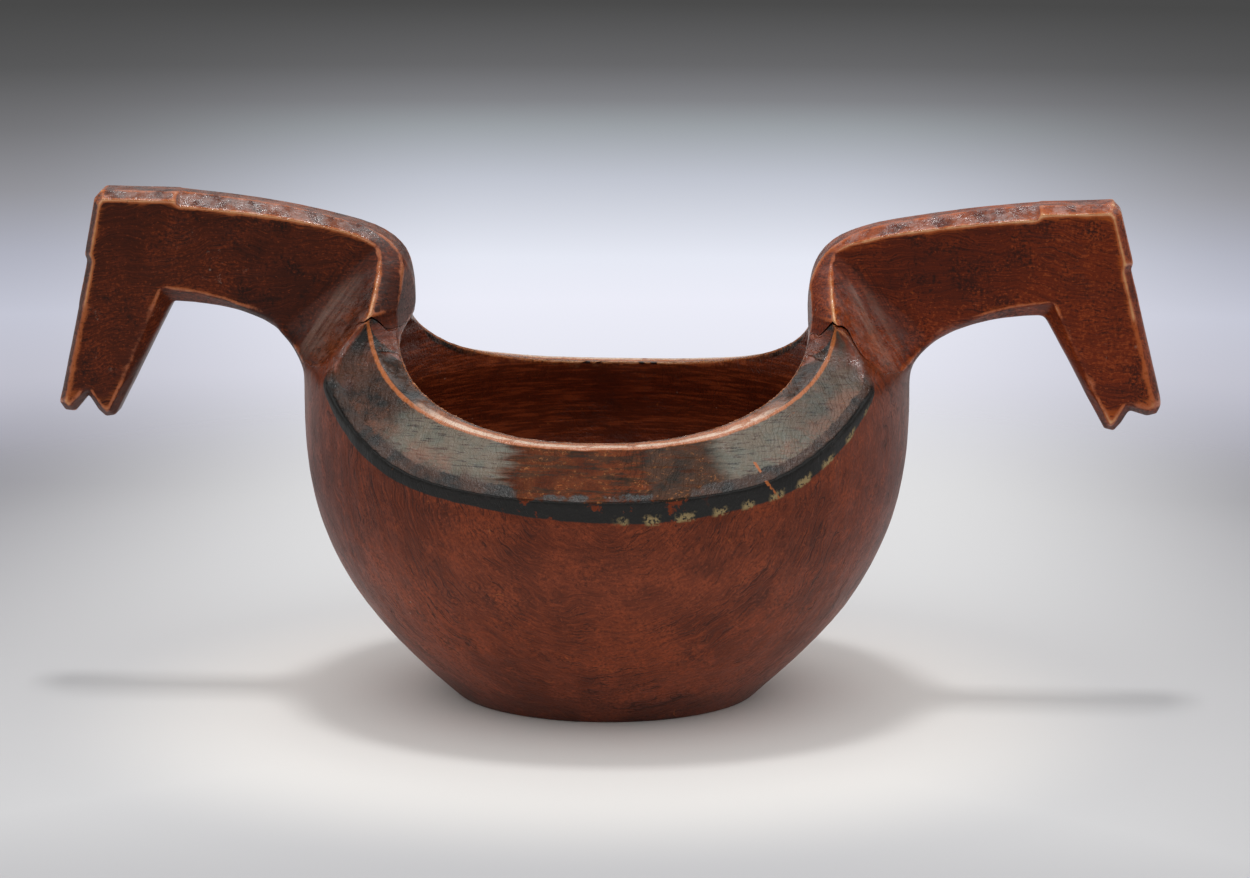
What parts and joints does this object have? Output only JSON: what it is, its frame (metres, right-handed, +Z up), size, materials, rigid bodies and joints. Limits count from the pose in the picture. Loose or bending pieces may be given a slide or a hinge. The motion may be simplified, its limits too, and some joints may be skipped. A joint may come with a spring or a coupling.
{
  "type": "two-handled carved drinking bowl",
  "caption": "Thick round wooden bowl with a sloping band round its dipped mouth; both ends rise as necks and turn outwards into flat horse-head handles.",
  "frame": {"origin": "middle of the flat base, on the surface that the bowl stands on", "axes": "+X towards the right head, -Y towards the viewer of the picture, +Z up out of the mouth"},
  "size_m": [0.3862, 0.2108, 0.1762],
  "materials": {
    "painted_wood": "old red-brown paint, polished by use, worn to wood on the edges",
    "bare_wood": "unpainted"
  },
  "bodies": {
    "root": {"bowl": "painted_wood", "handle_left": "painted_wood", "handle_right": "painted_wood", "peg_left": "bare_wood", "peg_right": "bare_wood"}
  },
  "joints": []
}
